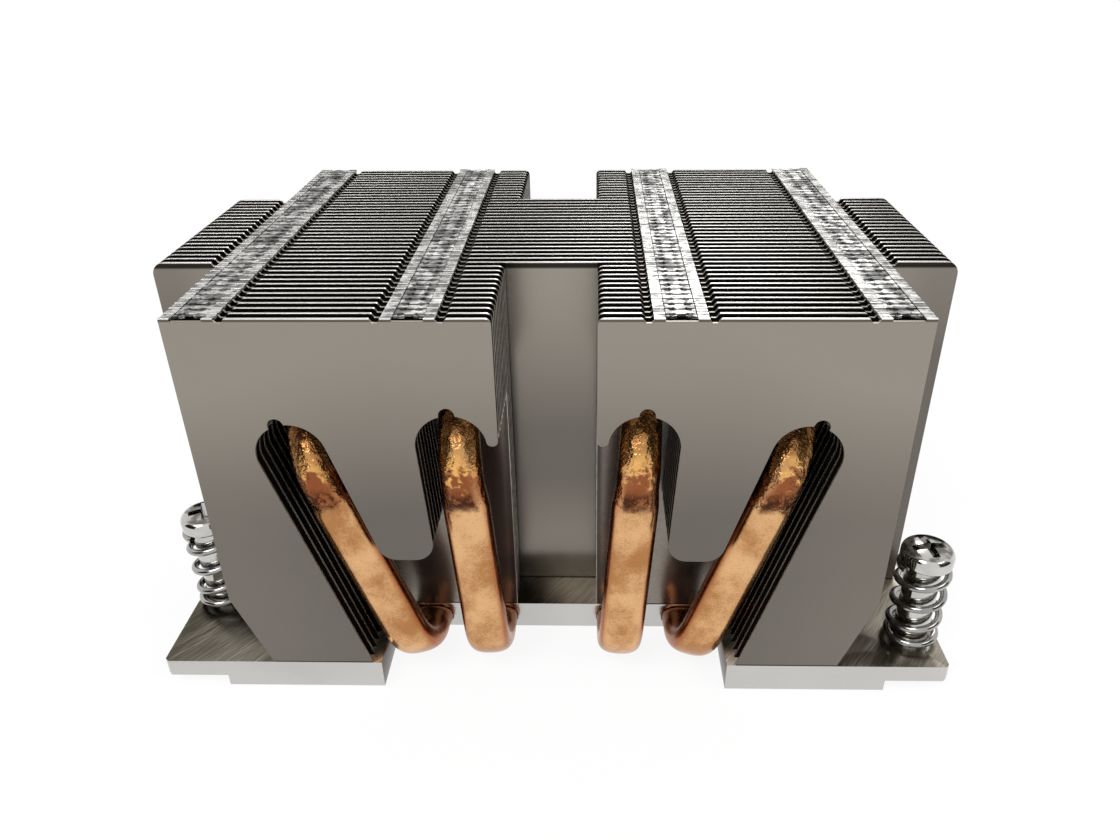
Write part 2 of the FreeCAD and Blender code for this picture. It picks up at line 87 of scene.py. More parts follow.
# A pipe's upper leg is at top_x and at top_z above the plate, and its lower leg at foot_x.
# Its slot in the front leaves comes down to slot_x.
Pipe = namedtuple("Pipe", "which top_x top_z slot_x foot_x")
OUTER_PIPE = Pipe("outer", 35.6, 39.8, 23.4, 21.5)
INNER_PIPE = Pipe("inner", 13.2, 41.3, 10.7, 10.3)
PIPES = (OUTER_PIPE, INNER_PIPE)


# ---------------------------------------------------------------- materials

# Sockets of a Mix node that are in use when it mixes colours.
MIX_SHARE, MIX_FIRST, MIX_SECOND, MIXED = 0, 6, 7, 2


class Channel:
    """A number, colour, vector or shader that a node tree works out."""

    def __init__(self, nodes, socket):
        self.nodes = nodes
        self.socket = socket

    def join(self, operation, first, second):
        return self.nodes.make("ShaderNodeMath", {"operation": operation}, {0: first, 1: second})

    def __add__(self, other):
        return self.join("ADD", self, other)

    def __radd__(self, other):
        return self.join("ADD", other, self)

    def __sub__(self, other):
        return self.join("SUBTRACT", self, other)

    def __rsub__(self, other):
        return self.join("SUBTRACT", other, self)

    def __mul__(self, other):
        return self.join("MULTIPLY", self, other)

    def __rmul__(self, other):
        return self.join("MULTIPLY", other, self)


class Nodes:
    """A node tree that is written as expressions on its channels."""

    def __init__(self, tree):
        self.tree = tree

    def make(self, kind, settings, sockets, output=0):
        """Adds a node: its settings first, then the values or links of its sockets."""
        node = self.tree.nodes.new(kind)
        for name, value in settings.items():
            setattr(node, name, value)
        for key, value in sockets.items():
            if isinstance(value, Channel):
                self.tree.links.new(value.socket, node.inputs[key])
            else:
                node.inputs[key].default_value = value
        return Channel(self, node.outputs[output]) if node.outputs else None

    def larger(self, first, second):
        return self.make("ShaderNodeMath", {"operation": "MAXIMUM"}, {0: first, 1: second})

    def ramp(self, value, none, full, low=0, high=1):
        """Low at one value and high at the other, smooth between them and level beyond."""
        return self.make("ShaderNodeMapRange", {"interpolation_type": "SMOOTHSTEP"},
                         {0: value, 1: none, 2: full, 3: low, 4: high})

    def ray(self, kind):
        """1 for light of one kind, and 0 for any other."""
        return self.make("ShaderNodeLightPath", {}, {}, output=kind)

    def mixed(self, share, first, second):
        """Shader between two shaders."""
        return self.make("ShaderNodeMixShader", {}, {0: share, 1: first, 2: second})


class Finish(Nodes):
    """One material: a Principled shader, with nodes that vary its colour, gloss and relief."""

    def __init__(self, name, metallic=1.0):
        self.material = bpy.data.materials.new(name)
        self.material.use_nodes = True
        super().__init__(self.material.node_tree)
        self.shader = self.tree.nodes["Principled BSDF"]
        self.shader.inputs["Metallic"].default_value = metallic
        self.place = self.make("ShaderNodeTexCoord", {}, {}, output="Object")
        self.facing = self.make("ShaderNodeTexCoord", {}, {}, output="Normal")

    def part(self, vector, axis):
        return self.make("ShaderNodeSeparateXYZ", {}, {0: vector}, output=axis)

    def size(self, value):
        return self.make("ShaderNodeMath", {"operation": "ABSOLUTE"}, {0: value})

    def stretched(self, scale, degrees=0):
        """The place turned about the z axis, then stretched."""
        turned = self.make("ShaderNodeMapping", {},
                           {"Vector": self.place, "Rotation": (0, 0, math.radians(degrees))})
        return self.make("ShaderNodeMapping", {}, {"Vector": turned, "Scale": scale})

    def noise(self, vector, scale=1.0, detail=2.0, roughness=0.5):
        return self.make("ShaderNodeTexNoise", {}, {"Vector": vector, "Scale": scale, "Detail": detail,
                                                    "Roughness": roughness})

    def blend(self, share, first, second):
        """Colour between two colours."""
        first, second = (value if isinstance(value, Channel) else (*value, 1) for value in (first, second))
        return self.make("ShaderNodeMix", {"data_type": "RGBA"},
                         {MIX_SHARE: share, MIX_FIRST: first, MIX_SECOND: second}, output=MIXED)

    def reach(self, value, start, none, full):
        """The ramp between two distances from a start, all three in millimetres."""
        return self.ramp(value, (start + none) * MM, (start + full) * MM)

    def faces(self, axis, none, full, either_way=False):
        """How squarely the surface faces along an axis."""
        part = self.part(self.facing, axis)
        return self.ramp(self.size(part) if either_way else part, none, full)

    def set(self, name, value):
        self.tree.links.new(value.socket, self.shader.inputs[name])

    def relief(self, height, distance, strength):
        self.set("Normal", self.make("ShaderNodeBump", {},
                                     {"Height": height, "Distance": distance, "Strength": strength}))


SHADED_NICKEL = (0.155, 0.139, 0.122)
LIT_NICKEL = (0.31, 0.28, 0.238)
PAINTED_GAP_SHADE = (0.008, 0.007, 0.006)
LIP_SHADOW = (0.030, 0.020, 0.014)
FLUX_BROWN = (0.022, 0.016, 0.011)
SILVER_TOP_HIGHLIGHT = ((0.42, 0.40, 0.37), (0.95, 0.93, 0.89))
BRASSY_EDGE = ((0.19, 0.17, 0.14), (0.66, 0.61, 0.53))


def fin_finish(name, notched):
    """Nickel-plated sheet: satin and warm grey, painted lighter towards its top, with brassy cut sides, a
    painted bright highlight on its cut tops and painted shade that turns the gaps black.
    """
    finish = Finish(name, metallic=0.9)
    across = finish.size(finish.part(finish.place, X))
    depth = finish.part(finish.place, Y)
    height = finish.part(finish.place, Z)
    cloud = finish.noise(finish.stretched((18, 18, 40)), detail=3)
    inside = finish.reach(depth, FRONT_FACE, 0.5, 1.2)
    rise = finish.reach(height, FIN_FOOT, 0.42 * FIN_HEIGHT, FIN_HEIGHT)
    outward = finish.reach(across, 0, 22, LEAF_OUTER)
    lit = rise + (cloud - 0.5) * 0.25 + outward * 0.22
    if notched:
        specks = finish.noise(finish.place, scale=1700, detail=3, roughness=0.7)
        low = finish.reach(height, FIN_FOOT, 34, 12)
        lit = lit + (low * 0.55 + (specks - 0.5) * 0.9) * inside
    else:
        wing = finish.reach(across, LEAF_OUTER, 0, 0.5)
        wing_edge = finish.reach(across, LEAF_OUTER, 1, 8)
        low = finish.reach(height, FIN_FOOT, 24, 9)
        lit = lit - wing * 0.55 - wing_edge * 0.30 + low * 0.42
    sheet = finish.blend(lit, SHADED_NICKEL, LIT_NICKEL)

    # Painted shade between the fins: behind the first fin each face goes black near its top, and also beside
    # the notch and among the slotted rows.
    gap_shade = finish.reach(height, FIN_TOP, -1.15, -0.75)
    cut_side = finish.faces(X, 0.5, 0.85, either_way=True)
    if notched:
        near_notch = finish.reach(across, LEAF_INNER, 1.2, 0.4)
        among_slotted = finish.reach(depth, FRONT_FACE, 13.6, 13.2)
        gap_shade = finish.larger(finish.larger(gap_shade, near_notch * 0.7), among_slotted * 0.85)
        burr = finish.reach(across, LEAF_INNER, 0.14, 0.08)
        cut_side = finish.larger(cut_side, burr * inside)
    sheet = finish.blend(gap_shade * inside * 0.95, sheet, PAINTED_GAP_SHADE)
    under_lip = finish.reach(height, FIN_TOP, -0.50, -0.36)
    sheet = finish.blend(under_lip * 0.75, sheet, LIP_SHADOW)
    flux = finish.reach(height, FIN_FOOT, 0.32, 0.18)
    sheet = finish.blend(flux * 0.85, sheet, FLUX_BROWN)

    # The cut tops are bare edges like the cut sides, with a painted highlight: they and the top tenth of a
    # millimetre of each face are painted bright silver.
    lip = finish.reach(height, FIN_TOP, -0.17, -0.10)
    cut_edge = finish.faces(Z, 0.5, 0.85, either_way=True)
    cut_top_highlight = finish.reach(height, FIN_TOP, -0.34, -0.22) * finish.larger(cut_edge, lip)
    cut_side = finish.larger(cut_side, cut_edge * 0.6)
    grain = finish.noise(finish.stretched((60, 900, 900)))
    colour = finish.blend(cut_side, sheet, finish.blend(grain, *BRASSY_EDGE))
    finish.set("Base Color", finish.blend(cut_top_highlight, colour, finish.blend(grain, *SILVER_TOP_HIGHLIGHT)))
    finish.set("Roughness", 0.34 - inside * 0.16 + cloud * 0.08)
    rolled = finish.noise(finish.stretched((30, 30, 700)))
    finish.relief(rolled, distance=0.00002, strength=0.25)
    return finish.material


DULL_FLANGE = (0.14, 0.139, 0.137)
SCUFFED_FLANGE = (0.67, 0.665, 0.65)


def strip_finish():
    """Folded flanges on top: the same plating, pressed and scuffed bright."""
    finish = Finish("pressed_flange", metallic=0.85)
    scuff = finish.noise(finish.place, scale=800, detail=3, roughness=0.65)
    patch = finish.noise(finish.place, scale=430)
    share = finish.ramp(scuff * 0.5 + patch * 0.5, 0.43, 0.60)
    finish.set("Base Color", finish.blend(share, DULL_FLANGE, SCUFFED_FLANGE))
    finish.set("Roughness", 0.20 + patch * 0.25)
    finish.relief(scuff, distance=0.00012, strength=0.6)
    return finish.material


MILLED_TOP = ((0.066, 0.057, 0.040), (0.39, 0.355, 0.295))
MACHINED_SIDE = ((0.48, 0.465, 0.44), (0.66, 0.655, 0.635))
RECESS_SHADOW = (0.060, 0.040, 0.030)


def plate_finish():
    """Machined base plate: crossed diagonal milling lines on top, clean edges."""
    finish = Finish("milled_plate")
    lines = finish.noise(finish.stretched((150, 5200, 900), -49), detail=3, roughness=0.6)
    crossed = finish.noise(finish.stretched((220, 4200, 900), -58))
    patch = finish.noise(finish.place, scale=42)
    cut = lines * 0.6 + crossed * 0.4
    worked = finish.blend(finish.ramp(cut * 0.45 + patch * 0.55, 0.36, 0.68), *MILLED_TOP)
    side = finish.blend(patch, *MACHINED_SIDE)
    across = finish.size(finish.part(finish.place, X))
    in_recess = finish.faces(X, 0.7, 0.9, either_way=True) * finish.reach(across, 0, 31, 29)
    side = finish.blend(in_recess * 0.85, side, RECESS_SHADOW)
    finish.set("Base Color", finish.blend(finish.faces(Z, 0.5, 0.8), side, worked))
    finish.set("Roughness", 0.20 + patch * 0.16)
    finish.relief(cut, distance=0.00003, strength=0.5)
    return finish.material


POLISHED_COPPER = ((0.45, 0.205, 0.075), (0.77, 0.455, 0.22))
SHADED_SIDE_COPPER = ((0.26, 0.075, 0.025), (0.50, 0.20, 0.08))
HAMMERED_AND_GLINTING_COPPER = ((0.27, 0.080, 0.030), (0.86, 0.47, 0.150))
UPWARD_DARK_REFLECTION = (0.150, 0.055, 0.018)
DARK_BLOTCH_COPPER = (0.040, 0.014, 0.007)
IN_STACK_SHADE_COPPER = (0.30, 0.115, 0.05)
SPECK_COPPER = (0.20, 0.075, 0.035)


def copper_finish():
    """Heat pipes: polished copper, darker and hammered where the bender gripped the bends, with painted shade
    on their sides and inside the fin stack, and a painted highlight and painted dark reflection where
    gripped.
    """
    finish = Finish("polished_copper")
    depth = finish.part(finish.place, Y)
    height = finish.part(finish.place, Z)
    dents = finish.noise(finish.place, scale=620, detail=3, roughness=0.6)
    cloud = finish.noise(finish.place, scale=110, detail=3, roughness=0.6)
    grains = finish.noise(finish.place, scale=2600, detail=3, roughness=0.6)
    specks = finish.ramp(grains, 0.60, 0.70)
    exposed = finish.reach(depth, FRONT_FACE, 13, 7)
    face = finish.faces(Y, -0.80, -0.97)
    uneven = dents - 0.5
    gripped = finish.reach(height + uneven * 0.003 + face * 0.001, PLATE_TOP, 28.6, 31.0) * exposed
    lower_rim = gripped * finish.reach(height + uneven * 0.004, PLATE_TOP, 32.6, 30.6)

    polished = finish.blend(finish.ramp(cloud * 0.75 + grains * 0.25, 0.38, 0.60), *POLISHED_COPPER)
    # Painted shade: the sides and the legs, which turn away from the front, are darker than the flat front
    # faces.
    shaded_side = finish.blend(cloud, *SHADED_SIDE_COPPER)
    colour = finish.blend(finish.faces(Y, -0.55, -0.95), shaded_side, polished)
    # The gripped zone is hammered, with a painted highlight: it turns golden towards the top of the bend.
    glint = finish.reach(height + uneven * 0.010, PLATE_TOP, 32.0, 36.5)
    dents_and_glint = finish.ramp(dents * 0.45 + cloud * 0.2 + glint * 0.35, 0.42, 0.62)
    colour = finish.blend(gripped * (0.45 + face * 0.5), colour, finish.blend(dents_and_glint, *HAMMERED_AND_GLINTING_COPPER))
    # Painted dark reflection on the upward-facing parts of the gripped zone.
    colour = finish.blend(gripped * finish.faces(Z, 0.25, 0.70) * 0.7, colour, UPWARD_DARK_REFLECTION)
    # Darker speckled blotches on the front faces at the lower rim of the gripped zone.
    blotches = finish.ramp(dents * 0.50 + grains * 0.35 + face * 0.15, 0.49, 0.58)
    colour = finish.blend(lower_rim * blotches * face * 0.9, colour, DARK_BLOTCH_COPPER)
    # Painted shade on the pipes where they run deeper inside the fin stack.
    colour = finish.blend((1 - exposed) * 0.8, colour, IN_STACK_SHADE_COPPER)
    finish.set("Base Color", finish.blend(specks * 0.4, colour, SPECK_COPPER))
    finish.set("Roughness", 0.17 + cloud * 0.14 + specks * 0.2)
    finish.relief(dents * (gripped * 0.92 + 0.08) + cloud * 0.15, distance=0.0006, strength=0.6)
    return finish.material


DARK_REFLECTION_STEEL = (0.10, 0.09, 0.075)


def steel_finish(name, dark, bright, roughness, dark_top=0.0):
    """Bright plated steel of the screws, springs and rings, with faint turning marks, and a painted dark
    reflection in patches on surfaces that face up.
    """
    finish = Finish(name)
    rings = finish.noise(finish.stretched((60, 60, 2400)))
    smear = finish.noise(finish.place, scale=260, detail=3)
    plated = finish.blend(smear, dark, bright)
    patch = finish.ramp(finish.noise(finish.place, scale=420), 0.40, 0.56)
    # Painted dark reflection in patches on the tops of the screw heads.
    dark_top_reflection = finish.faces(Z, 0.75, 0.95) * patch * dark_top
    finish.set("Base Color", finish.blend(dark_top_reflection, plated, DARK_REFLECTION_STEEL))
    finish.set("Roughness", roughness + smear * 0.10)
    finish.relief(rings, distance=0.00002, strength=0.4)
    return finish.material


FIN_SHEET = fin_finish("plated_sheet", notched=False)
LEAF_SHEET = fin_finish("plated_leaf", notched=True)
FLANGE = strip_finish()
PLATE = plate_finish()
COPPER = copper_finish()
SCREW_STEEL = steel_finish("plated_screw", dark=(0.32, 0.31, 0.29), bright=(0.78, 0.77, 0.74),
                           roughness=0.07, dark_top=0.85)
SPRING_STEEL = steel_finish("spring_wire", dark=(0.16, 0.155, 0.145), bright=(0.55, 0.54, 0.53),
                            roughness=0.10)


# ---------------------------------------------------------------- making pieces

SHARP_ANGLE = math.radians(35)
BEVEL_ANGLE = math.radians(40)
ARC_STEP = 12
RING_SIDES = 32


def placed(name, data):
    """New object in the scene."""
    thing = bpy.data.objects.new(name, data)
    bpy.context.scene.collection.objects.link(thing)
    return thing


def finish_piece(name, mesh, material, body, smooth=True, nodes=()):
    """Turns a mesh in millimetres into a piece that rides on a CAD body."""
    mesh.transform(Matrix.Scale(MM, 4))
    mesh.name = name
    mesh.materials.clear()
    mesh.materials.append(material)
    for polygon in mesh.polygons:
        polygon.use_smooth = smooth
    if smooth:
        mesh.set_sharp_from_angle(angle=SHARP_ANGLE)
    piece = placed(name, mesh)
    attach(piece, body)
    if nodes:
        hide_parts(*nodes)
    return piece


def evaluated(thing):
    """Plain mesh of an object with its modifiers applied, and the object removed."""
    depsgraph = bpy.context.evaluated_depsgraph_get()
    mesh = bpy.data.meshes.new_from_object(thing.evaluated_get(depsgraph), depsgraph=depsgraph)
    bpy.data.objects.remove(thing)
    return mesh


def mesh_from(work, name):
    """The mesh of a finished bmesh, with its faces turned outwards."""
    bmesh.ops.recalc_face_normals(work, faces=work.faces)
    mesh = bpy.data.meshes.new(name)
    work.to_mesh(mesh)
    work.free()
    return mesh


def bridge(work, loops):
    """Faces between each closed loop of vertices and the next."""
    for one, other in zip(loops, loops[1:]):
        for k in range(len(one)):
            following = (k + 1) % len(one)
            work.faces.new((one[k], one[following], other[following], other[k]))


def skin(name, loops):
    """Solid through closed loops of places, with a flat end at the first and the last."""
    work = bmesh.new()
    rings = [[work.verts.new(place) for place in loop] for loop in loops]
    bridge(work, rings)
    work.faces.new(rings[0][::-1])
    work.faces.new(rings[-1])
    return mesh_from(work, name)


def sheet_mesh(name, outlines, gauge, edge=0.03):
    """Sheet of the given closed outlines, holes among them, from y = 0 to its gauge."""
    curve = bpy.data.curves.new(name, "CURVE")
    curve.dimensions = "2D"
    curve.fill_mode = "BOTH"
    curve.extrude = gauge / 2 - edge
    curve.bevel_depth = edge
    curve.offset = -edge
    for outline in outlines:
        spline = curve.splines.new("POLY")
        spline.points.add(len(outline) - 1)
        for point, (x, z) in zip(spline.points, outline):
            point.co = (x, z, 0, 1)
        spline.use_cyclic_u = True
    mesh = evaluated(placed(name, curve))
    mesh.transform(Matrix.Translation((0, gauge / 2, 0)) @ Matrix.Rotation(math.radians(90), 4, "X"))
    return mesh


def repeating_tree():
    """Node tree that repeats a piece along a row and gives it its material."""
    tree = bpy.data.node_groups.new("row_of_pieces", "GeometryNodeTree")
    for name, kind in (("Geometry", "NodeSocketGeometry"), ("Count", "NodeSocketInt"),
                       ("Start", "NodeSocketVector"), ("Step", "NodeSocketVector"),
                       ("Tilt", "NodeSocketVector"), ("Seed", "NodeSocketInt"),
                       ("Finish", "NodeSocketMaterial")):
        tree.interface.new_socket(name, in_out="INPUT", socket_type=kind)
    tree.interface.new_socket("Geometry", in_out="OUTPUT", socket_type="NodeSocketGeometry")
    inputs = tree.nodes.new("NodeGroupInput")
    line = tree.nodes.new("GeometryNodeMeshLine")
    tilt = tree.nodes.new("FunctionNodeRandomValue")
    tilt.data_type = "FLOAT_VECTOR"
    other_way = tree.nodes.new("ShaderNodeVectorMath")
    other_way.operation = "SCALE"
    other_way.inputs["Scale"].default_value = -1
    copies = tree.nodes.new("GeometryNodeInstanceOnPoints")
    whole = tree.nodes.new("GeometryNodeRealizeInstances")
    finish = tree.nodes.new("GeometryNodeSetMaterial")
    outputs = tree.nodes.new("NodeGroupOutput")
    for start, end in ((inputs.outputs["Count"], line.inputs["Count"]),
                       (inputs.outputs["Start"], line.inputs["Start Location"]),
                       (inputs.outputs["Step"], line.inputs["Offset"]),
                       (inputs.outputs["Tilt"], other_way.inputs[0]),
                       (other_way.outputs["Vector"], tilt.inputs["Min"]),
                       (inputs.outputs["Tilt"], tilt.inputs["Max"]),
                       (inputs.outputs["Seed"], tilt.inputs["Seed"]),
                       (tilt.outputs["Value"], copies.inputs["Rotation"]),
                       (line.outputs["Mesh"], copies.inputs["Points"]),
                       (inputs.outputs["Geometry"], copies.inputs["Instance"]),
                       (copies.outputs["Instances"], whole.inputs["Geometry"]),
                       (whole.outputs["Geometry"], finish.inputs["Geometry"]),
                       (inputs.outputs["Finish"], finish.inputs["Material"]),
                       (finish.outputs["Geometry"], outputs.inputs["Geometry"])):
        tree.links.new(start, end)
    return tree


ROW_TREE = repeating_tree()


def row_of(name, mesh, first_row, count, material, across=0.0, height=PLATE_TOP, tilt=0.0, seed=0):
    """The mesh, drawn for the first fin, repeated for every fin of its zone."""
    thing = placed(name, mesh)
    modifier = thing.modifiers.new("row", "NODES")
    modifier.node_group = ROW_TREE
    sockets = {item.name: item.identifier for item in ROW_TREE.interface.items_tree
               if item.in_out == "INPUT"}
    modifier[sockets["Count"]] = count
    modifier[sockets["Start"]] = (across, FRONT_FACE + first_row * FIN_PITCH, height)
    modifier[sockets["Step"]] = (0, FIN_PITCH, 0)
    modifier[sockets["Tilt"]] = (math.radians(tilt), 0, 0)
    modifier[sockets["Seed"]] = seed
    modifier[sockets["Finish"]] = material
    return evaluated(thing)


def both_sides(mesh):
    """The mesh and its mirror image across the middle plane."""
    work = bmesh.new()
    work.from_mesh(mesh)
    copy = bmesh.ops.duplicate(work, geom=work.verts[:] + work.edges[:] + work.faces[:])["geom"]
    verts = [item for item in copy if isinstance(item, bmesh.types.BMVert)]
    faces = [item for item in copy if isinstance(item, bmesh.types.BMFace)]
    bmesh.ops.scale(work, vec=(-1, 1, 1), verts=verts)
    bmesh.ops.reverse_faces(work, faces=faces)
    work.to_mesh(mesh)
    work.free()
    return mesh


def rounded(corners):
    """Outline through corners (x, z) or (x, z, radius), with an arc at each radius."""
    outline = []
    count = len(corners)
    for i, corner in enumerate(corners):
        here = Vector(corner[:2])
        if len(corner) == 2:
            outline.append(tuple(here))
            continue
        radius = corner[2]
        to_last = (Vector(corners[i - 1][:2]) - here).normalized()
        to_next = (Vector(corners[(i + 1) % count][:2]) - here).normalized()
        half = to_last.angle(to_next) / 2
        middle = here + (to_last + to_next).normalized() * (radius / math.sin(half))
        start = here + to_last * (radius / math.tan(half)) - middle
        end = here + to_next * (radius / math.tan(half)) - middle
        sweep = start.angle_signed(end)
        flats = max(2, round(math.degrees(abs(sweep)) / ARC_STEP))
        for k in range(flats + 1):
            turn = Matrix.Rotation(-sweep * k / flats, 2)
            outline.append(tuple(middle + turn @ start))
    return outline


def ring(x, z, radius):
    angles = [math.tau * i / RING_SIDES for i in range(RING_SIDES)]
    return [(x + radius * math.cos(angle), z + radius * math.sin(angle)) for angle in angles]


# ---------------------------------------------------------------- fins
# Heights of a fin's outline are above the plate.

STRIP_WIDTH = 7.0
STRIP_EDGES = (13.8, LEAF_OUTER - STRIP_WIDTH)
BAND = 1.45
RELIEF_WIDTH = 1.4
RELIEF_DEPTH = 0.6
WINDOW_DEPTH = 0.38
NOTCH_CORNER = 0.9
WING_CORNER = 2.0
TOE_HEIGHT = 12.8
TOE_DEPTH = 4.7
SLOT_HALF = 4.95
SLOT_DROP = 1.35
NUB_HALF = 1.1
NUB_RISE = 6.1
TONGUE_FOOT = 20.6
TONGUE_CORNER = 2.8
LIP_FOOT = 40.2
PIPE_HOLE = 3.05


def flange_relief(edge, side):
    """Corners of the small cut beside a flange, from its outer end to the flange's edge."""
    return [(edge + side * RELIEF_WIDTH, FIN_HEIGHT, 0.3),
            (edge + side * RELIEF_WIDTH * 0.72, FIN_HEIGHT - RELIEF_DEPTH, 0.15),
            (edge + side * RELIEF_WIDTH * 0.22, FIN_HEIGHT - RELIEF_DEPTH),
            (edge, FIN_HEIGHT - RELIEF_DEPTH * 0.4), (edge, FIN_HEIGHT)]


def window(edge):
    """Corners of the opening under a strip's tongues, from its outer end inwards."""
    outer, inner = edge + STRIP_WIDTH - BAND, edge + BAND
    return [(outer, FIN_HEIGHT), (outer, FIN_HEIGHT - WINDOW_DEPTH), (inner, FIN_HEIGHT - WINDOW_DEPTH),
            (inner, FIN_HEIGHT)]


def top_edge(inner_start, outer_end):
    """A right-hand fin's top edge from its outer end inwards, with its reliefs."""
    inner_strip, outer_strip = STRIP_EDGES
    corners = list(outer_end) + window(outer_strip)
    corners += reversed(flange_relief(outer_strip, -1))
    corners += flange_relief(inner_strip + STRIP_WIDTH, 1) + window(inner_strip)
    corners += reversed(flange_relief(inner_strip, -1))
    return corners + list(inner_start)


def slot_lean(pipe):
    return math.atan((pipe.top_x - pipe.slot_x) / pipe.top_z)


def slot_end(pipe):
    """Points of a slot's round end and its solder pocket, from one side to the other."""
    lean = slot_lean(pipe)
    base = math.degrees(math.asin(NUB_HALF / SLOT_HALF))
    nub = NUB_RISE - NUB_HALF
    points = [(angle, SLOT_HALF, 0) for angle in range(180, round(90 + base), -6)]
    points.append((90 + base, SLOT_HALF, 0))
    points += [(angle, NUB_HALF, nub) for angle in range(180, -1, -20)]
    points.append((90 - base, SLOT_HALF, 0))
    points += [(angle, SLOT_HALF, 0) for angle in range(round(90 - base) - 6, -1, -6)]
    outline = []
    for angle, radius, up in points:
        across = radius * math.cos(math.radians(angle))
        along = radius * math.sin(math.radians(angle)) + up - SLOT_DROP
        outline.append((pipe.top_x + across * math.cos(lean) + along * math.sin(lean),
                        pipe.top_z - across * math.sin(lean) + along * math.cos(lean)))
    return outline


def slot_edge(pipe, side, z):
    """x of a slot's straight edge at a height."""
    middle = pipe.slot_x + (pipe.top_x - pipe.slot_x) * z / pipe.top_z
    return middle + side * SLOT_HALF / math.cos(slot_lean(pipe))


def leaf_outer_end():
    return [(LEAF_OUTER - TOE_DEPTH, 0), (LEAF_OUTER, TOE_HEIGHT), (LEAF_OUTER, FIN_HEIGHT)]


def slotted_leaf():
    corners = top_edge([(LEAF_INNER, FIN_HEIGHT, NOTCH_CORNER)], leaf_outer_end())
    lip_edge = slot_edge(INNER_PIPE, -1, LIP_FOOT)
    lip_round = (lip_edge - LEAF_INNER) * 0.48
    corners += [(LEAF_INNER, LIP_FOOT, lip_round), (lip_edge, LIP_FOOT, lip_round)]
    corners += slot_end(INNER_PIPE)[2:]
    corners += [(slot_edge(INNER_PIPE, 1, TONGUE_FOOT), TONGUE_FOOT, TONGUE_CORNER),
                (slot_edge(OUTER_PIPE, -1, TONGUE_FOOT), TONGUE_FOOT, TONGUE_CORNER)]
    corners += slot_end(OUTER_PIPE)
    corners += [(slot_edge(OUTER_PIPE, 1, 0), 0)]
    return sheet_mesh("slotted_leaf", [rounded(corners)], FIN_GAUGE)


def pipe_holes():
    return [ring(pipe.top_x, pipe.top_z, PIPE_HOLE) for pipe in PIPES]


def full_leaf():
    corners = top_edge([(LEAF_INNER, FIN_HEIGHT, NOTCH_CORNER)], leaf_outer_end())
    corners += [(LEAF_INNER, 0)]
    return sheet_mesh("leaf", [rounded(corners)] + pipe_holes(), FIN_GAUGE)


def middle_fin():
    wing = [(WING_HALF, 0), (WING_HALF, FIN_HEIGHT, WING_CORNER)] + flange_relief(LEAF_OUTER, 1)
    right = top_edge([], wing)
    left = [(-corner[0], *corner[1:]) for corner in reversed(right)]
    holes = pipe_holes() + [[(-x, z) for x, z in hole] for hole in pipe_holes()]
    return sheet_mesh("middle_fin", [rounded(right + left)] + holes, FIN_GAUGE)


def node_names(start):
    return [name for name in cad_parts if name.startswith(start)]


FIN_ZONES = (("front_slotted_leaves", slotted_leaf, 0, SLOTTED_ROWS, "slotted_fins"),
             ("front_leaves", full_leaf, SLOTTED_ROWS, FRONT_ROWS - SLOTTED_ROWS, "front_fins"),
             ("middle_fins", middle_fin, FRONT_ROWS, MIDDLE_ROWS, "middle_fin_"),
             ("rear_leaves", full_leaf, FRONT_ROWS + MIDDLE_ROWS, REAR_ROWS, "rear_fins"))
for name, draw, first_row, count, nodes in FIN_ZONES:
    if draw is middle_fin:
        material = FIN_SHEET
        sheets = row_of(name, draw(), first_row, count, material)
    else:
        material = LEAF_SHEET
        sheets = both_sides(row_of(name, draw(), first_row, count, material))
    finish_piece(name, sheets, material, HEATSINK, nodes=node_names(nodes))


# ---------------------------------------------------------------- flanges
# Drawn flat, u across the strip from its middle and v from the fin's front face to the rear,
# then laid on top of the stack.

TONGUE_GAUGE = 0.3
FLANGE_EDGE = 0.025
STRIP_TOP = FIN_TOP - 0.03


def laid(outlines, gauge, top):
    """Flat plates of the given outlines, lying with their tops at a height."""
    mesh = sheet_mesh("flange", outlines, gauge, FLANGE_EDGE)
    mesh.transform(Matrix.Rotation(math.radians(-90), 4, "X"))
    low = min(vertex.co.z for vertex in mesh.vertices)
    mesh.transform(Matrix.Translation((0, 0, top - gauge - low)))
    return mesh


def joined(meshes):
    work = bmesh.new()
    for mesh in meshes:
        work.from_mesh(mesh)
    return mesh_from(work, "joined")


def box_outline(left, right, front, rear):
    return [(left, front), (right, front), (right, rear), (left, rear)]


def bands():
    """The two plain outer bands of one flange."""
    half = STRIP_WIDTH / 2
    front, rear = 0.03, FIN_PITCH - 0.10
    return laid([box_outline(-half, BAND - half, front, rear), box_outline(half - BAND, half, front, rear)],
                FIN_GAUGE, -0.03)


def side_plates(first):
    """The plates beside the tongue, cut away round the tongue of the flange behind."""
    inner = STRIP_WIDTH / 2 - BAND - 0.10
    rear = FIN_PITCH - 0.16
    front = 1.25 if first else 0.42
    right = [(1.02, front), (inner, front - 0.18), (inner, rear), (1.52, rear), (1.44, rear - 0.36),
             (1.08, rear - 0.52), (0.76, rear - 0.34), (0.60, rear - 0.30), (0.60, front + 0.30)]
    left = [(-u, v) for u, v in reversed(right)]
    return laid([right, left], TONGUE_GAUGE, -0.10)


def tongue():
    """The dovetailed tongue that locks into the flange in front."""
    outline = [(-0.52, 0.02), (0.52, 0.02), (0.92, 0.50), (0.70, 0.84), (0.52, 1.30), (-0.52, 1.30),
               (-0.70, 0.84), (-0.92, 0.50)]
    return laid([outline], TONGUE_GAUGE, -0.04)


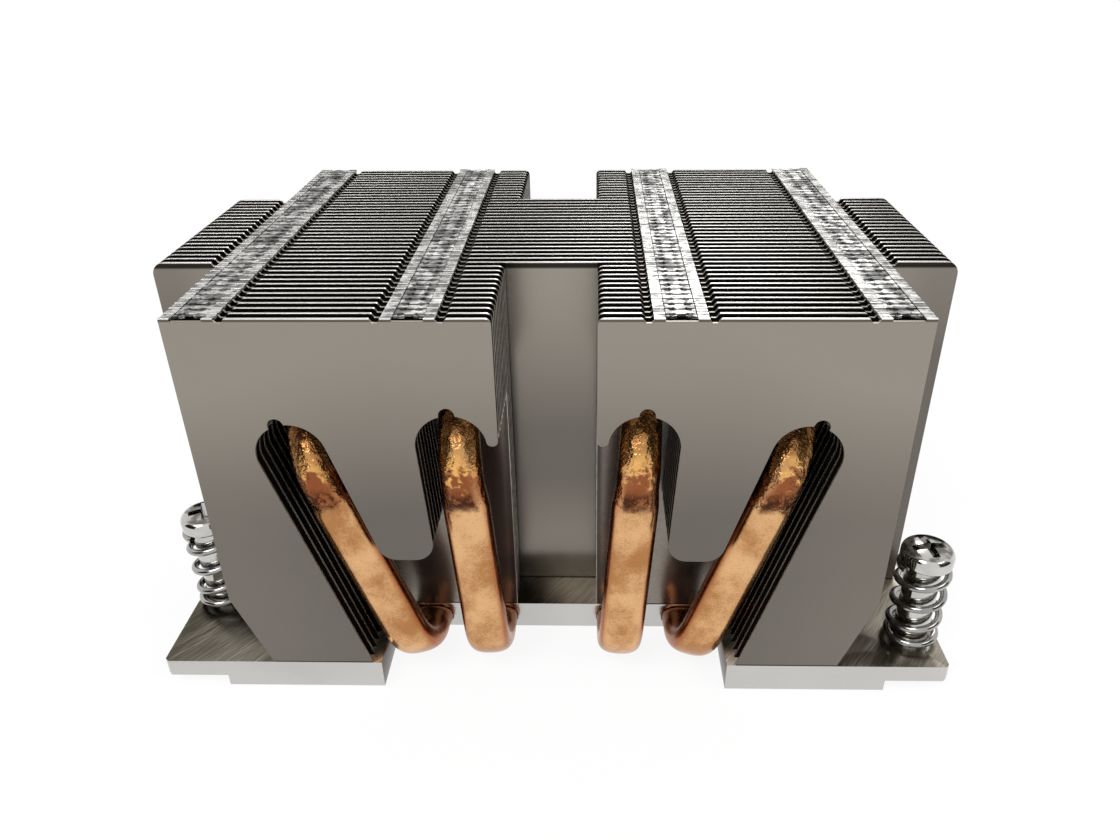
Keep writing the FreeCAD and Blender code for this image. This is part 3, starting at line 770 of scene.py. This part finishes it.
def strip(index, middle):
    """One strip of locked flanges along the whole stack."""
    # Each part with its first row, the number of its rows, and how far it may tilt, in degrees.
    parts = ((bands(), 0, FIN_ROWS, 0.7), (side_plates(first=True), 0, 1, 0.0),
             (side_plates(first=False), 1, FIN_ROWS - 1, 2.2), (tongue(), 1, FIN_ROWS - 1, 2.6))
    pieces = []
    for order, (mesh, row, count, tilt) in enumerate(parts):
        pieces.append(row_of(f"flange_part_{index}_{order}", mesh, row, count, FLANGE, across=middle,
                             height=STRIP_TOP, tilt=tilt, seed=10 * index + order))
    return joined(pieces)


strips = []
for edge in STRIP_EDGES:
    for side in (-1, 1):
        strips.append(strip(len(strips), side * (edge + STRIP_WIDTH / 2)))
finish_piece("locking_flanges", joined(strips), FLANGE, HEATSINK, smooth=False)


# ---------------------------------------------------------------- base plate

PLATE_ROUNDING = 0.16
SAME_PLACE = 1e-6
SAME_PLANE = math.radians(1)
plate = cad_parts["base_plate"].data.copy()
work = bmesh.new()
work.from_mesh(plate)
bmesh.ops.remove_doubles(work, verts=work.verts, dist=SAME_PLACE)
bmesh.ops.dissolve_limit(work, angle_limit=SAME_PLANE, verts=work.verts, edges=work.edges)
work.to_mesh(plate)
work.free()
plate.transform(Matrix.Scale(1 / MM, 4))
blank = placed("plate_blank", plate)
rounding = blank.modifiers.new("edges", "BEVEL")
rounding.width = PLATE_ROUNDING
rounding.segments = 2
rounding.limit_method = "ANGLE"
rounding.angle_limit = BEVEL_ANGLE
finish_piece("milled_base_plate", evaluated(blank), PLATE, HEATSINK, nodes=["base_plate"])


# ---------------------------------------------------------------- heat pipes
# Each pipe is a U in a leaning plane: its middle line is a list of places with a direction,
# the half width across the plane and the half thickness in it.

PIPE_RADIUS = 3.0
FLAT_WIDTH = 3.45
FLAT_THICKNESS = 2.25
FACE_SQUARENESS = 0.38
SIDE_SQUARENESS = 0.14
SETBACK = 3.6
UPPER_BEND = 9.5
LOWER_BEND = 7.2
BEND_FLATNESS = 0.30
FLATTENING_FROM = 40
FLATTENING = 4.2
PIPE_STEP = 0.5
RECESS_DEPTH = SLOTTED_ROWS * FIN_PITCH
LOWER_END = 4.05
# Distance from the rear face and share of the full radius, for each ring of the rounded tip.
TIP_RINGS = ((0.1, 0.70), (0.3, 0.87), (0.6, 0.97))
TIP_LENGTH = 1.1
HAMMERED_FROM = 215
HAMMER_MARKS = 0.9
HAMMER_DEPTH = 0.12
HAMMER_UNEVENNESS = 0.22
PIPE_SIDES = 40
UPPER_STEPS, UPPER_BEND_STEPS, RUN_STEPS, LOWER_BEND_STEPS, LOWER_STEPS = 12, 24, 40, 20, 20


def ease(share):
    share = min(max(share, 0), 1)
    return share * share * (3 - 2 * share)


def squared(value, squareness):
    """A sine or cosine pushed outwards, which turns a circle into a rounded rectangle."""
    return math.copysign(abs(value) ** (1 / (1 + squareness)), value)


def pipe_stations(height):
    """Places (y from the front face, height above the lower leg), direction and flatness."""
    depth = REAR_FACE - FRONT_FACE
    stations = [(depth - setback, height, 180, 0) for setback, _ in TIP_RINGS]
    tip = depth - TIP_LENGTH
    front = SETBACK + UPPER_BEND
    for k in range(UPPER_STEPS + 1):
        stations.append((tip - (tip - front) * k / UPPER_STEPS, height, 180, 0))
    for k in range(1, UPPER_BEND_STEPS + 1):
        angle = 90 * k / UPPER_BEND_STEPS
        turn = math.radians(angle)
        flat = BEND_FLATNESS * ease((angle - FLATTENING_FROM) / (90 - FLATTENING_FROM))
        stations.append((front - UPPER_BEND * math.sin(turn), height - UPPER_BEND * (1 - math.cos(turn)),
                         180 + angle, flat))
    top, foot = height - UPPER_BEND, LOWER_BEND
    for k in range(1, RUN_STEPS + 1):
        z = top + (foot - top) * k / RUN_STEPS
        flat = BEND_FLATNESS + (1 - BEND_FLATNESS) * ease((top - z) / FLATTENING)
        stations.append((SETBACK, z, 270, flat))
    for k in range(1, LOWER_BEND_STEPS + 1):
        angle = 90 * k / LOWER_BEND_STEPS
        turn = math.radians(angle)
        stations.append((SETBACK + LOWER_BEND * (1 - math.cos(turn)), LOWER_BEND * (1 - math.sin(turn)),
                         270 + angle, 1))
    start = SETBACK + LOWER_BEND
    for k in range(1, LOWER_STEPS + 1):
        stations.append((start + (depth - LOWER_END - start) * k / LOWER_STEPS, 0, 360, 1))
    return stations


def centre_of(loop):
    return sum((vertex.co for vertex in loop), Vector()) / len(loop)


def heat_pipe(name, side, pipe):
    low_middle = FLAT_THICKNESS - PLATE_TOP + PIPE_STEP
    rise = pipe.top_z - low_middle
    lean = math.atan((pipe.top_x - pipe.foot_x) / rise)
    height = math.hypot(pipe.top_x - pipe.foot_x, rise)
    bend_end = SETBACK + LOWER_BEND
    work = bmesh.new()
    rings = []
    for y, up, degrees, flat in pipe_stations(height):
        turn = math.radians(degrees)
        outward = Vector((0, math.sin(turn), -math.cos(turn)))
        level = ease((y - bend_end) / (RECESS_DEPTH - bend_end)) if degrees == 360 else 0
        width = PIPE_RADIUS + (FLAT_WIDTH - PIPE_RADIUS) * flat
        thick = PIPE_RADIUS + (FLAT_THICKNESS - PIPE_RADIUS) * flat
        tilt = lean * (1 - level)
        middle = Vector((pipe.foot_x + up * math.sin(lean), y,
                         low_middle + up * math.cos(lean) - level * PIPE_STEP))
        wide = Vector((math.cos(tilt), 0, -math.sin(tilt)))
        thin = Vector((outward.z * math.sin(tilt), outward.y, outward.z * math.cos(tilt)))
        hammered = degrees >= HAMMERED_FROM and 0 < flat < 0.999
        verts = []
        for k in range(PIPE_SIDES):
            angle = math.tau * k / PIPE_SIDES
            across = squared(math.cos(angle), FACE_SQUARENESS * flat) * width
            outwards = math.sin(angle)
            place = middle + wide * across + thin * squared(outwards, SIDE_SQUARENESS * flat) * thick
            if hammered and outwards > 0.2:
                mark = Vector((place.x * HAMMER_MARKS * side, place.y * HAMMER_MARKS, place.z * HAMMER_MARKS))
                rough = noise.noise(mark + Vector((pipe.foot_x, 0, 0)))
                place -= thin * (HAMMER_DEPTH + HAMMER_UNEVENNESS * rough) * outwards
            verts.append(work.verts.new((side * place.x, FRONT_FACE + place.y, PLATE_TOP + place.z)))
        rings.append(verts)
    bridge(work, rings)
    for loop, (_, share) in zip(rings, TIP_RINGS):
        centre = centre_of(loop)
        for vertex in loop:
            vertex.co = centre + (vertex.co - centre) * share
    for loop in (rings[0], rings[-1]):
        tip = work.verts.new(centre_of(loop))
        for k in range(PIPE_SIDES):
            work.faces.new((loop[k], loop[(k + 1) % PIPE_SIDES], tip))
    return mesh_from(work, name)


for pipe in PIPES:
    for side_name, side in (("left", -1), ("right", 1)):
        name = f"{pipe.which}_{side_name}_copper_pipe"
        finish_piece(name, heat_pipe(name, side, pipe), COPPER, HEATSINK,
                     nodes=[f"heat_pipe_{pipe.which}_{side_name}"])


# ---------------------------------------------------------------- spring screws

HEAD_RADIUS = 4.0
SLEEVE_RADIUS = 2.7
THREAD_RADIUS = 2.0
THREAD_DEPTH = 0.16
THREAD_PITCH = 0.3
NECK_RADIUS = 1.7
CROSS_ARM = 2.75
CROSS_WIDTH = 0.62
CROSS_DEPTH = 2.2
CROSS_CLEARANCE = 0.3
LATHE_SIDES = 64

SPRING_WIRE = 1.15
SPRING_RADIUS = 3.64
SPRING_TURNS = 4.5
CLOSED_TURNS = 1.5
TURN_STEPS = 48
WIRE_SIDES = 12


def lathe(name, profile):
    """Solid turned about the z axis from (radius, height) pairs, foot first."""
    turns = [math.tau * k / LATHE_SIDES for k in range(LATHE_SIDES)]
    return skin(name, [[(radius * math.cos(turn), radius * math.sin(turn), z) for turn in turns]
                       for radius, z in profile])


def rim(radius, z, rounding, start, end, steps):
    """Profile points of a rounded rim: its outermost radius, the height of its arc's centre,
    the arc's radius, and the degrees from which and to which the arc runs."""
    points = []
    for k in range(steps + 1):
        turn = math.radians(start + (end - start) * k / steps)
        points.append((radius - rounding + rounding * math.cos(turn), z + rounding * math.sin(turn)))
    return points


def cross_tool(top):
    """Tapered cross that cuts the drive recess, its mouth just above the head's top."""
    loops = []
    for z, share in ((top + CROSS_CLEARANCE, 1.06), (top - CROSS_DEPTH, 0.55)):
        long = CROSS_ARM * share
        short = CROSS_WIDTH * (0.6 + 0.4 * share)
        loop = []
        for x, y in ((1, 0), (0, 1), (-1, 0), (0, -1)):
            loop += [(x * long + y * short, y * long - x * short, z),
                     (x * long - y * short, y * long + x * short, z),
                     ((x - y) * short, (x + y) * short, z)]
        loops.append(loop)
    return skin("cross_tool", loops)


def screw_mesh(foot, thread_top, sleeve_foot, head_foot, head_top):
    """Head with a domed top and cross recess, sleeve, neck for the ring, and threaded tip."""
    profile = [(THREAD_RADIUS - 0.35, foot), (THREAD_RADIUS - 0.02, foot + 0.2)]
    z = foot + 0.25
    while z < thread_top - THREAD_PITCH:
        profile += [(THREAD_RADIUS, z), (THREAD_RADIUS - THREAD_DEPTH, z + 0.12), (THREAD_RADIUS, z + 0.24)]
        z += THREAD_PITCH
    profile += [(THREAD_RADIUS - 0.05, thread_top), (NECK_RADIUS, thread_top), (NECK_RADIUS, sleeve_foot),
                (SLEEVE_RADIUS - 0.1, sleeve_foot), (SLEEVE_RADIUS, sleeve_foot + 0.1),
                (SLEEVE_RADIUS, head_foot - 0.2), (SLEEVE_RADIUS + 0.15, head_foot)]
    profile += rim(HEAD_RADIUS, head_foot + 0.5, 0.5, -90, 0, 5)
    profile += rim(HEAD_RADIUS, head_top - 1.45, 1.15, 0, 66, 9)
    profile += [(2.5, head_top - 0.24), (1.2, head_top - 0.06), (0.3, head_top)]
    body = placed("screw_blank", lathe("screw", profile))
    tool = placed("cross", cross_tool(head_top))
    cut = body.modifiers.new("cross", "BOOLEAN")
    cut.operation = "DIFFERENCE"
    cut.solver = "EXACT"
    cut.object = tool
    mesh = evaluated(body)
    bpy.data.objects.remove(tool)
    return mesh


def spring_mesh(height):
    """Coil spring standing on z = 0, closed for one turn at its foot and half a turn at its top."""
    closed_rise = 1.05 * SPRING_WIRE
    open_turns = SPRING_TURNS - CLOSED_TURNS
    open_rise = (height - SPRING_WIRE - closed_rise * CLOSED_TURNS) / open_turns
    loops = []
    for step in range(round(SPRING_TURNS * TURN_STEPS) + 1):
        turn = step / TURN_STEPS
        open_turn = min(max(turn - 1, 0), open_turns)
        z = SPRING_WIRE / 2 + closed_rise * (turn - open_turn) + open_rise * open_turn
        outward = Vector((math.cos(math.tau * turn), math.sin(math.tau * turn), 0))
        loop = []
        for k in range(WIRE_SIDES):
            angle = math.tau * k / WIRE_SIDES
            radius = SPRING_RADIUS + SPRING_WIRE / 2 * math.cos(angle)
            loop.append(outward * radius + Vector((0, 0, z + SPRING_WIRE / 2 * math.sin(angle))))
        loops.append(loop)
    return skin("spring", loops)


def moved(mesh, turn, x, y, z):
    mesh.transform(Matrix.Translation((x, y, z)) @ Matrix.Rotation(math.radians(turn), 4, "Z"))
    return mesh


# The heads' undersides and the springs reach this far above those of the CAD, and the heads'
# tops a share of it.
HEAD_RAISE = 2.3
TOP_RAISE = 0.40
CLEARANCE = 0.05
# How far each screw happens to be turned, in degrees.
TURNS = {"front_left": 22, "front_right": 8, "rear_left": 51, "rear_right": 37}
for corner in CORNERS:
    screw_low, screw_high = node_box(f"spring_screw_{corner}")
    ring_low, ring_high = node_box(f"retaining_ring_{corner}")
    spring_low, spring_high = node_box(f"screw_spring_{corner}")
    x, y = (screw_low.x + screw_high.x) / 2, (screw_low.y + screw_high.y) / 2
    spring_top = spring_high.z + HEAD_RAISE
    blank = screw_mesh(screw_low.z, ring_low.z - CLEARANCE, ring_high.z, spring_top + CLEARANCE,
                       screw_high.z + HEAD_RAISE * TOP_RAISE)
    finish_piece(f"captive_screw_{corner}", moved(blank, TURNS[corner], x, y, 0), SCREW_STEEL,
                 f"screw_{corner}", nodes=[f"spring_screw_{corner}"])
    coil = moved(spring_mesh(spring_top - spring_low.z), TURNS[corner] * 3, x, y, spring_low.z)
    spring = finish_piece(f"coil_spring_{corner}", coil, SPRING_STEEL, HEATSINK,
                          nodes=[f"screw_spring_{corner}"])
    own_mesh(spring)
    ring_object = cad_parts[f"retaining_ring_{corner}"]
    for slot in ring_object.material_slots:
        slot.material = SPRING_STEEL


# ---------------------------------------------------------------- floor, light and camera

FLOOR_HALF = 4.0
FLOOR_LEVEL = -0.0003
FLOOR_COLOUR = (0.9, 0.9, 0.9, 1)
CLOTH_COLOUR = (0.012, 0.011, 0.010, 1)
WHITE = (1, 1, 1, 1)
SEEN_WORLD = 1.0
LIGHTING_WORLD = 0.55
FLOOR_GLOW = 1.0


def emptied(thing):
    """Nodes of a world or material that starts with none."""
    thing.use_nodes = True
    thing.node_tree.nodes.clear()
    return Nodes(thing.node_tree)


def plain_world():
    """White wherever it is seen or mirrored, and a soft even light."""
    world = bpy.data.worlds.new("studio")
    bpy.context.scene.world = world
    nodes = emptied(world)
    mirrored = nodes.larger(nodes.ray("Is Camera Ray"), nodes.ray("Is Glossy Ray"))
    shown = nodes.larger(mirrored, nodes.ray("Is Transmission Ray"))
    light = nodes.make("ShaderNodeBackground", {}, {"Color": WHITE, "Strength": LIGHTING_WORLD})
    seen = nodes.make("ShaderNodeBackground", {}, {"Color": WHITE, "Strength": SEEN_WORLD})
    nodes.make("ShaderNodeOutputWorld", {}, {"Surface": nodes.mixed(shown, light, seen)})


def floor_material():
    """Pale floor that is white to the eye with a soft shadow, and clear from below."""
    material = bpy.data.materials.new("pale_floor")
    nodes = emptied(material)
    place = nodes.make("ShaderNodeTexCoord", {}, {}, output="Object")
    distance = nodes.make("ShaderNodeVectorMath", {"operation": "LENGTH"}, {0: place}, output="Value")
    glowing = nodes.ramp(distance, 0.07, 0.30, low=0.90, high=1.0)
    shown = nodes.larger(nodes.ray("Is Camera Ray"), nodes.ray("Is Glossy Ray"))
    matt = nodes.make("ShaderNodeBsdfDiffuse", {}, {"Color": FLOOR_COLOUR})
    glow = nodes.make("ShaderNodeEmission", {}, {"Strength": FLOOR_GLOW})
    clear = nodes.make("ShaderNodeBsdfTransparent", {}, {})
    from_below = nodes.make("ShaderNodeNewGeometry", {}, {}, output="Backfacing")
    from_above = nodes.mixed(shown * glowing, matt, glow)
    nodes.make("ShaderNodeOutputMaterial", {}, {"Surface": nodes.mixed(from_below, from_above, clear)})
    return material


def dark_cloth():
    """Dark backdrop that only the polished metal shows."""
    material = bpy.data.materials.new("dark_cloth")
    nodes = emptied(material)
    clear = nodes.make("ShaderNodeBsdfTransparent", {}, {})
    matt = nodes.make("ShaderNodeBsdfDiffuse", {}, {"Color": CLOTH_COLOUR})
    cloth = nodes.mixed(nodes.ray("Is Glossy Ray"), clear, matt)
    nodes.make("ShaderNodeOutputMaterial", {}, {"Surface": cloth})
    return material


def panel(name, material, corners):
    """Flat stage piece through four corners in metres."""
    mesh = bpy.data.meshes.new(name)
    mesh.from_pydata(corners, [], [(0, 1, 2, 3)])
    mesh.materials.append(material)
    placed(name, mesh)


def lamp(name, place, size, power):
    """Round area light, in metres and watts, that points at the middle of the heatsink."""
    light = bpy.data.lights.new(name, "AREA")
    light.shape = "DISK"
    light.size = size
    light.energy = power
    thing = placed(name, light)
    thing.location = place
    thing.rotation_euler = (Vector((0, 0, 0.03)) - Vector(place)).to_track_quat("-Z", "Y").to_euler()


plain_world()
panel("floor", floor_material(), [(x * FLOOR_HALF, y * FLOOR_HALF, FLOOR_LEVEL)
                                  for x, y in ((-1, -1), (1, -1), (1, 1), (-1, 1))])
cloth = dark_cloth()
for name, left, right, low, high in (("left_cloth", (-0.60, -0.10), (-0.36, -0.52), 0.02, 0.55),
                                     ("right_cloth", (0.36, -0.52), (0.60, -0.10), 0.02, 0.55),
                                     ("rear_cloth", (-0.50, 0.62), (0.50, 0.62), 0.0, 0.26)):
    panel(name, cloth, [(*left, low), (*right, low), (*right, high), (*left, high)])
lamp("key_light", (-0.35, -0.45, 0.75), size=0.45, power=4.5)
lamp("fill_light", (0.55, -0.30, 0.50), size=0.40, power=2.2)
lamp("back_light", (0.10, 0.60, 0.55), size=0.40, power=2.2)

# The camera stands before the heatsink and looks down on it: its lens and sensor in
# millimetres, its shift in shares of the frame, its place in metres and its three turns.
LENS = 27.987
SENSOR_WIDTH = 36
SHIFT = (-0.01298, -0.01956)
CAMERA_PLACE = (0.006196, -0.138026, 0.107283)
PITCH, YAW, ROLL = math.radians(28.515), math.radians(-1.408), math.radians(0.572)
camera_data = bpy.data.cameras.new("camera")
camera_data.sensor_width = SENSOR_WIDTH
camera_data.lens = LENS
camera_data.shift_x, camera_data.shift_y = SHIFT
camera_data.clip_start = 0.01
camera = placed("camera", camera_data)
camera.matrix_world = (Matrix.Translation(CAMERA_PLACE)
                       @ Matrix.Rotation(-YAW, 4, "Z") @ Matrix.Rotation(math.pi / 2 - PITCH, 4, "X")
                       @ Matrix.Rotation(-ROLL, 4, "Z"))
bpy.context.scene.camera = camera
bpy.context.scene.view_settings.view_transform = "Standard"
